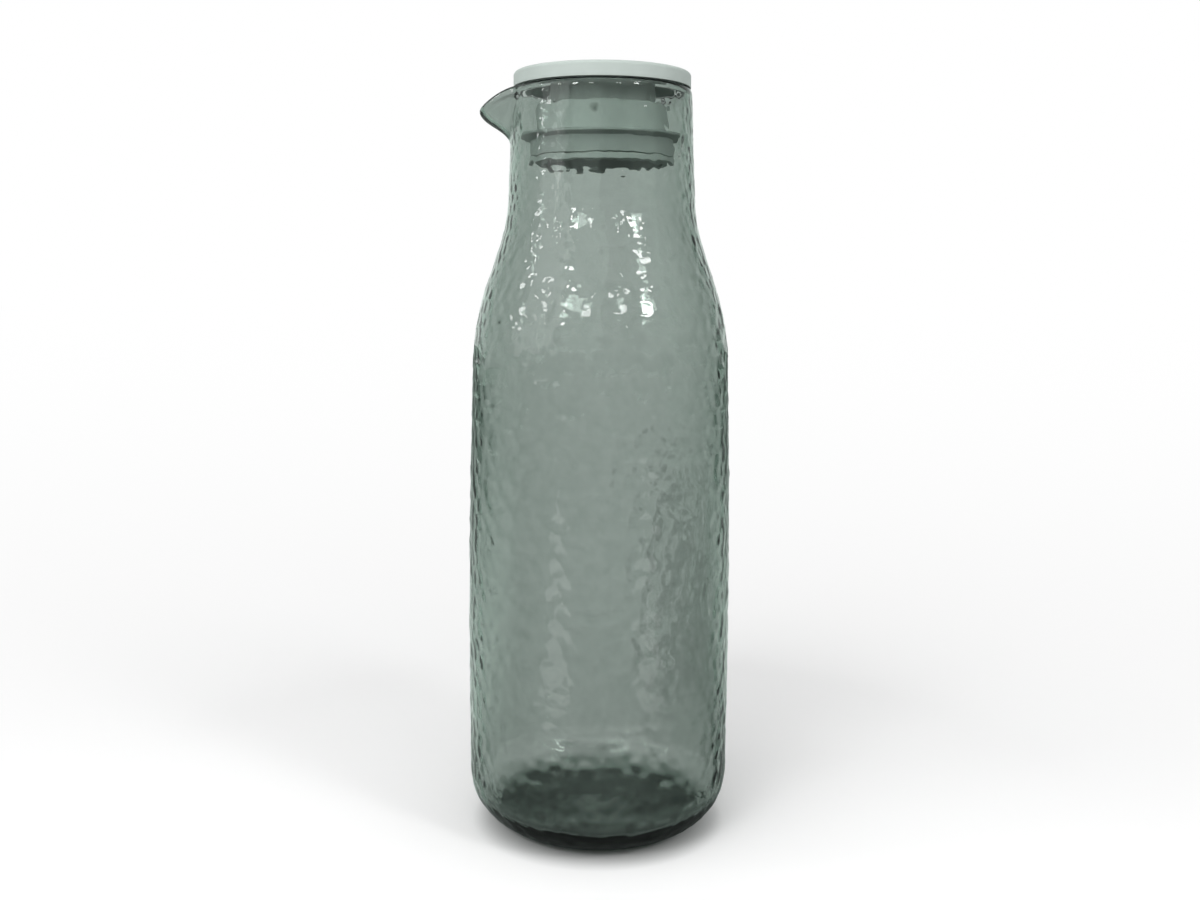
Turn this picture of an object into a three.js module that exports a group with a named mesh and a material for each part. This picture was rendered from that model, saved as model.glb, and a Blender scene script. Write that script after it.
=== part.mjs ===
// Glass carafe with a pinched pouring spout and a push-in lid.
// Millimetres, +Z up, origin on the axis at the foot, spout towards -X.

import * as THREE from 'three';

// Glass, heights stacked from the foot upwards
const HEEL_RADIUS = 20.5;
const BODY_LENGTH = 151.5;
const SHOULDER_LENGTH = 55;
const NECK_LENGTH = 38;

// Glass, outer radii
const BODY_RADIUS = 47.3;
const BODY_TAPER = 1.8;
const BODY_BULGE = 0.9;
const NECK_RADIUS = 32.9;
const NECK_TAPER = 1.5;

// Glass, how far the shoulder curve keeps the direction of the body and of the neck
const SHOULDER_HANDLE = 24;
const NECK_HANDLE = 18.5;

// Glass, thicknesses and foot
const BODY_WALL = 2.4;
const RIM_WALL = 2.4;
const LIP_HEIGHT = 2.6;
const BASE_THICKNESS = 7;
const INNER_HEEL_RADIUS = 10;
const FOOT_WIDTH = 5.5;
const PUNT_DEPTH = 4;

// Spout, pulled out of the rim
const SPOUT_HEIGHT = 20;
const SPOUT_REACH = 11.8;
const SPOUT_DROP = 6.5;
const SPOUT_SPREAD = THREE.MathUtils.degToRad(32);
const SPOUT_ROOT_SPREAD = THREE.MathUtils.degToRad(18);
const SPOUT_POINTEDNESS = 4;
const SPOUT_DROP_POWER = 1.5;
const SPOUT_PROBE = THREE.MathUtils.degToRad(0.5);

// Lid cap
const CAP_THICKNESS = 5.2;
const CAP_SETBACK = 0.5;
const CAP_EDGE_RADIUS = 1.2;
const CAP_LOWER_EDGE_RADIUS = 0.4;
const SPIGOT_LENGTH = 8;
const SPIGOT_WALL = 1.8;

// Plug below the cap
const PLUG_DEPTH = 26;
const PLUG_WALL = 2;
const PLUG_WEB = 2;
const SKIRT_WALL = 2.2;
const CORE_GAP = 5.9;
const WAIST_HEIGHT = 6.2;
const WAIST_INSET = 5;
const FLANGE_LIP = 2.6;
const FLANGE_THICKNESS = 2.1;

// Seal ring on the plug
const SLEEVE_WALL = 2;
const SLEEVE_LENGTH = 7.5;
const FIN_THICKNESS = 1.9;
const FIN_TIP_THICKNESS = 1.1;

// Clearances
const SEAL_CLEARANCE = 0.3;
const SEAT_CLEARANCE = 0.3;

// Mesh fineness
const SEGMENTS = 60;
const BODY_STEPS = 6;
const SHOULDER_STEPS = 10;
const HEEL_STEPS = 6;
const SPOUT_STEPS = 7;
const LIP_STEPS = 4;
const EDGE_STEPS = 3;

// Places that follow from the sizes above
const shoulderBase = HEEL_RADIUS + BODY_LENGTH;
const neckBase = shoulderBase + SHOULDER_LENGTH;
const neckLean = NECK_TAPER / NECK_LENGTH;
const rimHeight = neckBase + NECK_LENGTH;
const spoutRoot = rimHeight - SPOUT_HEIGHT;
const shoulderRadius = BODY_RADIUS - BODY_TAPER;
const rimRadius = NECK_RADIUS - NECK_TAPER;
const boreRadius = rimRadius - RIM_WALL;
const lipHalf = RIM_WALL / 2;
const rimEdge = rimHeight - LIP_HEIGHT;
const footRadius = BODY_RADIUS - HEEL_RADIUS;
const capBottom = rimHeight + SEAT_CLEARANCE;
const plugTop = capBottom - SEAT_CLEARANCE;
const plugBottom = capBottom - PLUG_DEPTH;
const spigotBottom = capBottom - SPIGOT_LENGTH;
const coreRadius = boreRadius - CORE_GAP;
const waistRadius = coreRadius - WAIST_INSET;
const plugBore = waistRadius - PLUG_WALL;
const sleeveBottom = plugBottom + FLANGE_THICKNESS + SEAT_CLEARANCE;
const sleeveBore = coreRadius + SEAT_CLEARANCE;

const point = (radius, height) => new THREE.Vector2(radius, height);

// Points of a straight stretch, with the first one and without the last.
function straight(from, to, steps = 1) {
  return new THREE.LineCurve(from, to).getPoints(steps).slice(0, -1);
}

// Points of a round stretch about a centre, with both ends. Angles are in quarter turns from +X.
function rounding(centre, radius, startQuarter, endQuarter, steps, rise = radius) {
  const points = [];
  for (let step = 0; step <= steps; step += 1) {
    const quarter = THREE.MathUtils.lerp(startQuarter, endQuarter, step / steps);
    const angle = quarter * Math.PI / 2;
    points.push(point(centre.x + radius * Math.cos(angle), centre.y + rise * Math.sin(angle)));
  }
  return points;
}

// A piece turned from its half section, given from the axis outwards and back.
function turned(section) {
  const geometry = new THREE.LatheGeometry(section, SEGMENTS);
  geometry.rotateX(Math.PI / 2);
  return geometry;
}

// A named piece with its own finish.
function piece(name, geometry, finish) {
  const mesh = new THREE.Mesh(geometry, new THREE.MeshStandardMaterial(finish));
  mesh.name = name;
  return mesh;
}

// Side of the glass from heel to neck base, moved in from the outer face by the wall.
function sidePoints(bottomHeight, bodyInset, neckInset, stepShare) {
  const bottom = point(BODY_RADIUS - bodyInset, bottomHeight);
  const top = point(shoulderRadius - bodyInset, shoulderBase);
  const middle = bottom.clone().add(top).multiplyScalar(0.5);
  const belly = point(middle.x + 2 * BODY_BULGE, middle.y);
  const direction = top.clone().sub(belly).normalize();
  const body = new THREE.QuadraticBezierCurve(bottom, belly, top);
  const shoulder = new THREE.CubicBezierCurve(
    top,
    top.clone().addScaledVector(direction, SHOULDER_HANDLE),
    point(neckOuter(neckBase - NECK_HANDLE) - neckInset, neckBase - NECK_HANDLE),
    point(NECK_RADIUS - neckInset, neckBase),
  );
  const bodyPoints = body.getPoints(Math.round(BODY_STEPS * stepShare)).slice(0, -1);
  return bodyPoints.concat(shoulder.getPoints(Math.round(SHOULDER_STEPS * stepShare)));
}

// Outer radius of the neck at a height.
function neckOuter(height) {
  return NECK_RADIUS - neckLean * (height - neckBase);
}

// How strongly the spout pulls at an angle from -X: 1 in its middle, 0 beyond its sides.
function spoutFlare(angle, rise) {
  const spread = THREE.MathUtils.lerp(SPOUT_ROOT_SPREAD, SPOUT_SPREAD, rise);
  const turn = Math.min(Math.abs(angle) / spread, 1);
  return (1 - turn * turn) ** SPOUT_POINTEDNESS;
}

// Place on the outer face of neck and spout, for an angle from -X and a height on the neck.
function spoutFace(angle, height) {
  const rise = THREE.MathUtils.smoothstep(height, spoutRoot, rimHeight);
  const flare = spoutFlare(angle, rise);
  const radius = neckOuter(height) + SPOUT_REACH * rise * flare;
  const drop = SPOUT_DROP * rise * flare ** SPOUT_DROP_POWER;
  return new THREE.Vector3(-radius * Math.cos(angle), radius * Math.sin(angle), height - drop);
}

// Pulls the rim out and down into the pouring spout, with the wall at its thickness all over.
function pullSpout(geometry) {
  const place = geometry.attributes.position;
  for (let i = 0; i < place.count; i += 1) {
    const angle = Math.atan2(place.getY(i), -place.getX(i));
    const height = place.getZ(i);
    const depth = neckOuter(height) - Math.hypot(place.getX(i), place.getY(i));
    if (height > spoutRoot && spoutFlare(angle, 1) > 0) {
      const across = spoutFace(angle + SPOUT_PROBE, height).sub(spoutFace(angle - SPOUT_PROBE, height));
      const along = spoutFace(angle, height + 1).sub(spoutFace(angle, height - 1));
      const outwards = along.cross(across).normalize();
      const moved = spoutFace(angle, height).addScaledVector(outwards, -depth);
      place.setXYZ(i, moved.x, moved.y, moved.z);
    }
  }
  geometry.computeVertexNormals();
}

// Blown glass: thick base with a shallow punt, round heel, soft shoulder, neck and rim of one wall.
function glassBody() {
  const puntRadius = footRadius - FOOT_WIDTH;
  const punt = new THREE.QuadraticBezierCurve(
    point(0, PUNT_DEPTH),
    point(puntRadius / 2, PUNT_DEPTH),
    point(puntRadius, 0),
  );
  const neckFoot = point(NECK_RADIUS, neckBase);
  const rimOuter = point(rimRadius, rimEdge);
  const spoutFoot = point(neckOuter(spoutRoot), spoutRoot);
  const rimInner = point(boreRadius, rimEdge);
  const spoutFootInner = point(spoutFoot.x - RIM_WALL, spoutRoot);
  const neckFootInner = point(NECK_RADIUS - RIM_WALL, neckBase);
  const innerHeelTop = BASE_THICKNESS + INNER_HEEL_RADIUS;
  const innerBodyRadius = BODY_RADIUS - BODY_WALL;
  const innerHeel = point(innerBodyRadius - INNER_HEEL_RADIUS, innerHeelTop);
  const inside = rounding(innerHeel, INNER_HEEL_RADIUS, -1, 0, HEEL_STEPS).slice(0, -1)
    .concat(sidePoints(innerHeelTop, BODY_WALL, RIM_WALL, 0.75));
  const section = [
    ...punt.getPoints(3),
    ...rounding(point(footRadius, HEEL_RADIUS), HEEL_RADIUS, -1, 0, HEEL_STEPS).slice(0, -1),
    ...sidePoints(HEEL_RADIUS, 0, 0, 1).slice(0, -1),
    ...straight(neckFoot, spoutFoot, 2),
    ...straight(spoutFoot, rimOuter, SPOUT_STEPS),
    ...rounding(point(boreRadius + lipHalf, rimEdge), lipHalf, 0, 2, LIP_STEPS, LIP_HEIGHT),
    ...straight(rimInner, spoutFootInner, SPOUT_STEPS).slice(1),
    ...straight(spoutFootInner, neckFootInner),
    ...inside.reverse(),
    point(0, BASE_THICKNESS),
  ];
  const geometry = turned(section);
  pullSpout(geometry);
  return piece('glass_body', geometry, { color: 0x7f8b85, roughness: 0.06, metalness: 0 });
}

// Round cap over the rim, with a spigot that plugs into the bore of the plug.
function lidCap() {
  const capRadius = rimRadius - CAP_SETBACK;
  const capTop = capBottom + CAP_THICKNESS;
  const spigotRadius = plugBore - SEAT_CLEARANCE;
  const lowerEdge = point(capRadius - CAP_LOWER_EDGE_RADIUS, capBottom + CAP_LOWER_EDGE_RADIUS);
  const upperEdge = point(capRadius - CAP_EDGE_RADIUS, capTop - CAP_EDGE_RADIUS);
  const section = [
    point(0, capBottom),
    point(spigotRadius - SPIGOT_WALL, capBottom),
    point(spigotRadius - SPIGOT_WALL, spigotBottom),
    point(spigotRadius, spigotBottom),
    point(spigotRadius, capBottom),
    ...rounding(lowerEdge, CAP_LOWER_EDGE_RADIUS, -1, 0, EDGE_STEPS),
    ...rounding(upperEdge, CAP_EDGE_RADIUS, 0, 1, EDGE_STEPS),
    point(0, capTop),
  ];
  return piece('lid_cap', turned(section), { color: 0xb9c4be, roughness: 0.5, metalness: 0 });
}

// Hollow plug, open above and below its web: a narrow waist under the cap, a core, and a flange under the seal.
function plugCup() {
  const waistBottom = capBottom - WAIST_HEIGHT;
  const flangeRadius = coreRadius + FLANGE_LIP;
  const flangeTop = plugBottom + FLANGE_THICKNESS;
  const webTop = spigotBottom - SEAT_CLEARANCE;
  const hollowRadius = coreRadius - SKIRT_WALL;
  const section = [
    point(0, webTop - PLUG_WEB),
    point(hollowRadius, webTop - PLUG_WEB),
    point(hollowRadius, plugBottom),
    point(flangeRadius, plugBottom),
    point(flangeRadius, flangeTop),
    point(coreRadius, flangeTop),
    point(coreRadius, waistBottom),
    point(waistRadius, waistBottom),
    point(waistRadius, plugTop),
    point(plugBore, plugTop),
    point(plugBore, webTop),
    point(0, webTop),
  ];
  return piece('plug_cup', turned(section), { color: 0xe7f0eb, roughness: 0.5, metalness: 0 });
}

// Soft ring round the core: a sleeve on the flange, with a thin fin that fills the bore.
function sealRing() {
  const sleeveRadius = sleeveBore + SLEEVE_WALL;
  const finRadius = boreRadius - SEAL_CLEARANCE;
  const sleeveTop = sleeveBottom + SLEEVE_LENGTH;
  const finTip = point(finRadius - FIN_TIP_THICKNESS / 2, sleeveTop - FIN_TIP_THICKNESS / 2);
  const section = [
    point(sleeveBore, sleeveBottom),
    point(sleeveRadius, sleeveBottom),
    point(sleeveRadius, sleeveTop - FIN_THICKNESS),
    ...rounding(finTip, FIN_TIP_THICKNESS / 2, -1, 1, EDGE_STEPS),
    point(sleeveBore, sleeveTop),
    point(sleeveBore, sleeveBottom),
  ];
  return piece('seal_ring', turned(section), { color: 0xccd6d1, roughness: 0.6, metalness: 0 });
}

const carafe = new THREE.Group();
carafe.add(glassBody(), lidCap(), plugCup(), sealRing());

export default carafe;
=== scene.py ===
"""Hammered smoked-glass carafe with a pinched spout and a push-in lid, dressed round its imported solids."""

import math
import random

import bmesh
import bpy
import numpy as np
from bpy.props import FloatProperty, FloatVectorProperty, IntProperty, PointerProperty
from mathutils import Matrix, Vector, noise
from mathutils.kdtree import KDTree


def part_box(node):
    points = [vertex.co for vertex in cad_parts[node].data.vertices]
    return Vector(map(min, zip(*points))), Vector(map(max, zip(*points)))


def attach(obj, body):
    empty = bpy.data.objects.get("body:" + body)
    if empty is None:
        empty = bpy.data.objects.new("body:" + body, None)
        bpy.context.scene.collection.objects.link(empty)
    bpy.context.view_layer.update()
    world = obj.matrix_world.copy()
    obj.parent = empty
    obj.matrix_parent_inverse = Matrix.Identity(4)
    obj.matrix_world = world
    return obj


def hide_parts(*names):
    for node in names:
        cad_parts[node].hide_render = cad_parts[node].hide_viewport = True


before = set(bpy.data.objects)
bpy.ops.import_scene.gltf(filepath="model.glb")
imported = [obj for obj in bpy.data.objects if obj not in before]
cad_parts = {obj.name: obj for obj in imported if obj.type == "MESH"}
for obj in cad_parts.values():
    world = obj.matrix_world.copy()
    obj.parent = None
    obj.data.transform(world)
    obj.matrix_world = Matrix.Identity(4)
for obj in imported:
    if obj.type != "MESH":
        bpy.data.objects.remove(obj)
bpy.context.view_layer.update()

bl_info = {
    "name": "Hammered Glass Carafe",
    "version": (1, 0, 0),
    "blender": (4, 5, 0),
    "location": "View3D > Sidebar > Carafe",
    "description": "Models a hammered glass carafe, its lid and seal, and a plain studio round them",
    "category": "Add Mesh",
}

GLASS_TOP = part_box("glass_body")[1]
CAP_LOW, CAP_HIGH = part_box("lid_cap")
PLUG_LOW, PLUG_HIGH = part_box("plug_cup")
SEAL_LOW, SEAL_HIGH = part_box("seal_ring")

QUARTER = math.pi / 2
# Places closer than this count as one.
NEAR = 1e-5
# Points of a spun mesh closer than this are welded.
WELD = 2e-6
# A face whose normal is lower than this looks down.
DOWNWARDS = -0.9
# Faces round each piece of the lid.
LID_COLUMNS = 160
# Rows of faces on shoulder and neck, times those on the body.
FINE_ROWS = 1.2
# Heights above the foot, and depths below the rim, over which the hammer marks fade.
FOOT_FADE = (0.0005, 0.005)
RIM_FADE = (0.006, 0.002)
# How fast the hammer marks end beside the spout.
SPOUT_FADE = 4
# Number of hammer marks that shape each place of the glass, and the seed of their chance.
MARKS_AT_A_PLACE = 4
MARK_SEED = 11
# Share of the floor's radius inside which its waves have their full height.
CALM_EDGE = 0.75

WHITE = (1, 1, 1, 1)
BLACK = (0, 0, 0, 1)
REFRACTION = 1.5
# Where most values of a noise lie.
NOISE_MIDDLE = (0.3, 0.7)
# How much lighter or darker the patches of plastic and silicone are, and how their gloss differs.
MOTTLE = 0.04
UNEVEN_GLOSS = (-0.05, 0.07)
# Slope towards axis or table over which a face counts as recessed and gets painted shade.
RECESS_SLOPES = (0.4, 0.8)
# Between a ray that hasn't bounced and one that has bounced once.
FIRST_BOUNCE = 0.5

PHOTO_WIDTH = 1200
SENSOR_WIDTH = 36
# Direction in which reflections get brighter, and the distances along it over which they do,
# in the room and on the table.
BRIGHT_SIDE = (-0.3, 0.95, -0.8)
BRIGHT_ROOM = (-0.2, 0.9)
BRIGHT_TABLE = (-0.02, 0.12)
# Direction across the long painted shadow, and the distances behind the axis where it begins and ends.
SHADOW_ACROSS = (0.997, -0.075, 0)
SHADOW_BEGINS = (0.04, 0.22)
SHADOW_ENDS = (0.35, 1.4)
# Each lamp: name, azimuth and elevation in degrees, width, height, share of the glow, seen in reflections.
LAMPS = (
    ("left front lamp", -34, 25, 0.09, 0.07, 1.8, True),
    ("right front lamp", 44, 25, 0.09, 0.07, 1.8, True),
    ("left middle lamp", -14, 26, 0.07, 0.05, 0.8, True),
    ("right middle lamp", 20, 26, 0.08, 0.05, 0.9, True),
    ("left wide lamp", -56, 25, 0.07, 0.05, 0.7, True),
    ("right upper lamp", 49, 36, 0.09, 0.05, 1.2, True),
    ("left side lamp a", -79, 16, 0.09, 0.045, 0.7, True),
    ("left side lamp b", -83, 29, 0.09, 0.045, 0.8, True),
    ("neck post", -56, 10, 0.04, 0.2, 0.16, True),
    ("left soft box", -62, 22, 0.55, 0.55, 0.08, True),
    ("key soft box", -20, 37, 0.6, 1.0, 0.135, False),
    ("left front glow", -24, 25, 0.16, 0.11, 1.0, False),
    ("right front glow", 46, 25, 0.15, 0.11, 1.0, False),
    ("right fill", 55, 20, 0.5, 0.5, 0.075, False),
    ("top soft box", 0, 88, 0.9, 0.9, 0.075, False),
)
# Each strip: name, azimuth in degrees, distance from the axis, width, length, share of the glow.
TABLE_STRIPS = (
    ("left table strip", -34, 0.55, 0.08, 0.7, 0.09),
    ("right table strip", 40, 0.55, 0.07, 0.7, 0.07),
)


def metres(name, description, default):
    """A size."""
    return FloatProperty(name=name, description=description, default=default, unit="LENGTH", precision=5)


def degrees(name, description, default):
    """An angle, its default given in degrees."""
    return FloatProperty(name=name, description=description, default=math.radians(default),
                         subtype="ANGLE", unit="ROTATION")


def factor(name, description, default):
    """A share between 0 and 1."""
    return FloatProperty(name=name, description=description, default=default, min=0, max=1, subtype="FACTOR")


def plain(name, description, default):
    """A number without a unit."""
    return FloatProperty(name=name, description=description, default=default)


def colour(name, description, default):
    """A colour in linear light."""
    return FloatVectorProperty(name=name, description=description, default=default, subtype="COLOR",
                               size=3, min=0, max=1)


class CarafeGlassSettings(bpy.types.PropertyGroup):
    """Sizes, hammer marks and smoke of the glass"""
    rim_height: metres("Rim height", "Height of the rim above the foot", GLASS_TOP.z)
    heel_radius: metres("Heel radius", "Rounding from the side into the foot", 0.0205)
    body_length: metres("Body length", "Height from the heel to the shoulder", 0.1515)
    shoulder_length: metres("Shoulder length", "Height of the curve from body to neck", 0.055)
    body_radius: metres("Body radius", "Outer radius above the heel", 0.0473)
    body_taper: metres("Body taper", "How far the body draws in towards the shoulder", 0.0018)
    body_bulge: metres("Body bulge", "How far the side bows out at half height", 0.0009)
    neck_radius: metres("Neck radius", "Outer radius at the foot of the neck", 0.0329)
    neck_taper: metres("Neck taper", "How far the neck draws in towards the rim", 0.0015)
    shoulder_handle: metres("Shoulder handle", "How long the shoulder keeps the body's direction", 0.024)
    neck_handle: metres("Neck handle", "How long the shoulder keeps the neck's direction", 0.0185)
    body_wall: metres("Body wall", "Thickness of the side", 0.0024)
    rim_wall: metres("Rim wall", "Thickness of the rim", 0.0024)
    lip_height: metres("Lip height", "Height over which the rim rounds off", 0.0026)
    base_thickness: metres("Base thickness", "Thickness of the floor of the glass", 0.007)
    inner_heel_radius: metres("Inner heel radius", "Rounding inside the base", 0.010)
    foot_width: metres("Foot width", "Width of the flat ring that the glass stands on", 0.0055)
    punt_depth: metres("Punt depth", "Hollow under the base", 0.004)
    spout_height: metres("Spout height", "How far below the rim the spout starts", 0.02)
    spout_reach: metres("Spout reach", "How far the tip stands out of the neck", 0.0118)
    spout_drop: metres("Spout drop", "How far the tip hangs below the rim", 0.0065)
    spout_spread: degrees("Spout spread", "Half angle of the spout at the rim", 32)
    spout_root_spread: degrees("Spout root spread", "Half angle of the spout at its root", 18)
    spout_pointedness: plain("Spout pointedness", "Sharpness of the tip from above", 4)
    spout_drop_power: plain("Spout drop power", "Sharpness of the tip from the side", 1.5)
    dimple_pitch: metres("Dimple pitch", "Distance from one hammer mark to the next on the body", 0.0056)
    dimple_depth: metres("Dimple depth", "Depth of a hammer mark below its ridges", 0.00026)
    dimple_least: factor("Dimple least", "Depth of the shallowest mark, as a share of that depth", 0.3)
    dimple_most: plain("Dimple most", "Depth of the deepest mark, as a share of that depth", 1.25)
    dimple_shrink: plain("Dimple shrink", "Power by which smaller marks are shallower", 1.3)
    dimple_bowl: factor("Dimple bowl", "Radius of a mark's bowl, as a share of the pitch", 0.62)
    dimple_edge: plain("Dimple edge", "How sharply one mark gives way to the next", 3.7)
    dimple_lean: plain("Dimple lean", "How far the marks lean from the face, as a slope", 0.03)
    dimple_jitter: factor("Dimple jitter", "Unevenness of the marks, as a share of the pitch", 0.26)
    row_step: metres("Row step", "Height of a row of faces on the outside", 0.0011)
    columns: IntProperty(name="Columns", description="Faces round the glass", default=264)
    floor_waves: metres("Floor waves", "Unevenness of the floor of the glass", 0.00015)
    wave_scale: plain("Wave scale", "Fineness of that unevenness, per metre", 75)
    tint: colour("Tint", "Light that the glass lets through after one unit of depth", (0.0143, 0.192, 0.098))
    smoke: plain("Smoke", "Density of the grey in the glass, per metre", 210)


class CarafeLidSettings(bpy.types.PropertyGroup):
    """Sizes and colours of cap and plug"""
    cap_thickness: metres("Cap thickness", "Thickness of the cap above the rim", 0.0052)
    cap_edge: metres("Cap edge", "Rounding of the cap's upper edge", 0.0012)
    cap_under_edge: metres("Cap under edge", "Rounding of the small edges", 0.0003)
    spigot_radius: metres("Spigot radius", "Outer radius of the ring that plugs into the plug", 0.0158)
    spigot_wall: metres("Spigot wall", "Thickness of that ring", 0.0018)
    core_radius: metres("Core radius", "Outer radius of the plug between waist and flange", 0.0231)
    plug_wall: metres("Plug wall", "Thickness of the plug's side at the waist", 0.002)
    web_height: metres("Web height", "Top of the web inside the plug, below the top of the plug", 0.008)
    web_thickness: metres("Web thickness", "Thickness of the web that closes the plug", 0.002)
    skirt_wall: metres("Skirt wall", "Thickness of the core round its hollow underside", 0.0022)
    waist_height: metres("Waist height", "Height of the narrow waist below the cap", 0.0059)
    waist_inset: metres("Waist inset", "How far the waist stands back from the core", 0.005)
    # The waist's shade is painted into the plug's colour.
    waist_shade_start: metres("Waist shade start", "Height above the core where the shade begins", 0.0005)
    waist_shade: factor("Waist shade", "Brightness of the waist right under the cap", 0.9)
    flange_lip: metres("Flange lip", "How far the flange stands out of the core", 0.0026)
    flange_thickness: metres("Flange thickness", "Thickness of the flange under the seal", 0.0021)
    plug_edge: metres("Plug edge", "Rounding of the plug's edges", 0.00035)
    gate_side: metres("Gate side", "Place of the moulding mark beside the front of the core", -0.0025)
    gate_drop: metres("Gate drop", "Depth of the moulding mark below the waist", 0.003)
    gate_radius: metres("Gate radius", "Radius of the darkest part of the moulding mark", 0.0003)
    gate_reach: metres("Gate reach", "Radius at which the moulding mark ends", 0.0019)
    gate_strength: factor("Gate strength", "How far the moulding mark covers the plastic", 0.75)
    gate_colour: colour("Gate colour", "Dark grey of the moulding mark", (0.2, 0.23, 0.21))
    cap_colour: colour("Cap colour", "Pale grey plastic", (0.455, 0.516, 0.485))
    plug_colour: colour("Plug colour", "Off-white plastic under the cap", (0.80, 0.855, 0.825))


class CarafeSealSettings(bpy.types.PropertyGroup):
    """Sizes and colour of the seal"""
    bore_radius: metres("Bore radius", "Inner radius of the sleeve", 0.0234)
    sleeve_wall: metres("Sleeve wall", "Thickness of the sleeve", 0.002)
    fin_thickness: metres("Fin thickness", "Thickness of the fin at its root", 0.0019)
    fin_tip: metres("Fin tip", "Thickness of the fin at its tip", 0.0011)
    sleeve_edge: metres("Sleeve edge", "Rounding of the sleeve's edges", 0.0002)
    seal_colour: colour("Seal colour", "Soft grey silicone", (0.68, 0.73, 0.705))


class CarafeStageSettings(bpy.types.PropertyGroup):
    """Camera, table, room and lamps"""
    camera_distance: metres("Camera distance", "From the axis of the carafe", 0.46)
    camera_height: metres("Camera height", "Above the table", 0.2)
    camera_focal_pixels: plain("Focal length", "In pixels of the photograph", 1281)
    camera_tilt: degrees("Camera tilt", "Downwards from level", 7.65)
    camera_roll: degrees("Camera roll", "Lean of the photograph", 0.37)
    floor_colour: colour("Floor colour", "Pale table", (0.90, 0.905, 0.90))
    floor_mottle: factor("Floor mottle", "How much darker the table's patches are", 0.03)
    floor_bounce: factor("Floor bounce", "Share of the light that the table sends back up", 0.4)
    floor_size: metres("Floor size", "Side of the table", 14.0)
    floor_gap: metres("Floor gap", "Between the table and the foot", 0.0003)
    shadow_reach: metres("Shadow reach", "Distance from which the table fades to white", 0.2)
    # The long shadow behind the carafe is painted into the table's colour.
    shadow_depth: factor("Shadow depth", "Darkness of the long shadow behind the carafe", 0.3)
    shadow_offset: metres("Shadow offset", "Distance from the axis to the middle of that shadow", 0.055)
    shadow_width: metres("Shadow width", "From the middle of that shadow to its edge", 0.06)
    # The contact shadow under the heel and the light under the punt are painted into the table's colour.
    contact_radius: metres("Contact radius", "Radius of the darkest shadow under the heel", 0.035)
    contact_reach: metres("Contact reach", "Radius at which that shadow ends", 0.041)
    contact_shift: metres("Contact shift", "How far that shadow lies towards the camera", 0.004)
    contact_light: factor("Contact light", "Share of light that is left in that shadow", 0.02)
    punt_light: factor("Punt light", "Share of light on the table under the punt", 0.5)
    punt_radius: metres("Punt radius", "Radius of the brightest patch under the punt", 0.004)
    punt_reach: metres("Punt reach", "Radius at which that patch ends", 0.019)
    # The darkness beside the foot is a shadow painted into the table's colour.
    ring_light: factor("Ring light", "Share of light beside the foot, seen past the glass", 0.4)
    ring_radius: metres("Ring radius", "Radius of the darkest table beside the foot", 0.03)
    ring_reach: metres("Ring reach", "Radius at which that darkness ends", 0.047)
    # The share below, of the table's light near the carafe, is painted light: the table glows with it.
    passed_light: factor("Passed light", "Share of the table's light that comes through glass", 0.4)
    ambient: plain("Ambient", "Soft light from all round", 0.37)
    room: plain("Room", "Brightness of the room behind the camera in reflections", 0.2)
    room_colour: colour("Room colour", "Faint green of all that the glass mirrors", (0.9, 1.0, 0.95))
    backdrop: plain("Backdrop", "Brightness of what is seen through the glass", 0.8)
    lamp_distance: metres("Lamp distance", "From the shoulder of the carafe to each lamp", 0.8)
    lamp_aim: metres("Lamp aim", "Height that the lamps face", 0.2)
    lamp_glow: plain("Lamp glow", "Brightness of the lamps' faces", 12.0)
    strip_height: metres("Strip height", "Height of the strips above the table", 0.002)
    bounces: IntProperty(name="Bounces", description="How often light may bounce in the glass", default=24)


def bezier(controls, steps):
    """Points of a curve with two, three or four control points, with both ends."""
    points = []
    for step in range(steps + 1):
        share = step / steps
        level = [Vector(control) for control in controls]
        while len(level) > 1:
            level = [here.lerp(there, share) for here, there in zip(level, level[1:])]
        points.append(level[0])
    return points


def arc(centre, radius, start, end, steps):
    """Points of a round stretch about a centre, with both ends."""
    angles = [start + (end - start) * step / steps for step in range(steps + 1)]
    return [Vector((centre[0] + radius * math.cos(angle), centre[1] + radius * math.sin(angle)))
            for angle in angles]


def smooth_step(low, high, values):
    """Rises from 0 at low to 1 at high."""
    share = np.clip((values - low) / (high - low), 0, 1)
    return share * share * (3 - 2 * share)


def turned_piece(name, outline, steps):
    """A piece extruded point by point along its half section and spun round the axis."""
    bpy.ops.object.select_all(action="DESELECT")
    bpy.ops.mesh.primitive_plane_add(size=0.001)
    piece = bpy.context.object
    piece.name = piece.data.name = name
    bpy.ops.object.mode_set(mode="EDIT")
    bpy.ops.mesh.select_mode(type="VERT")
    bpy.ops.mesh.select_all(action="SELECT")
    bpy.ops.mesh.merge(type="CENTER")
    bpy.ops.transform.translate(value=(outline[0].x, 0, outline[0].y))
    for here, there in zip(outline, outline[1:]):
        move = there - here
        bpy.ops.mesh.extrude_region_move(TRANSFORM_OT_translate={"value": (move.x, 0, move.y)})
    bpy.ops.mesh.select_all(action="SELECT")
    bpy.ops.mesh.spin(steps=steps, angle=2 * math.pi, center=(0, 0, 0), axis=(0, 0, 1))
    bpy.ops.mesh.select_all(action="SELECT")
    bpy.ops.mesh.remove_doubles(threshold=WELD)
    bpy.ops.mesh.normals_make_consistent(inside=False)
    bpy.ops.object.mode_set(mode="OBJECT")
    return piece


def select_parts(piece, kind, wanted):
    """Selects only the edges or faces that pass a test."""
    bpy.ops.mesh.select_all(action="DESELECT")
    bpy.ops.mesh.select_mode(type="EDGE" if kind == "edges" else "FACE")
    mesh = bmesh.from_edit_mesh(piece.data)
    for part in getattr(mesh, kind):
        part.select_set(wanted(part))
    mesh.select_flush_mode()
    bmesh.update_edit_mesh(piece.data)


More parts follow.
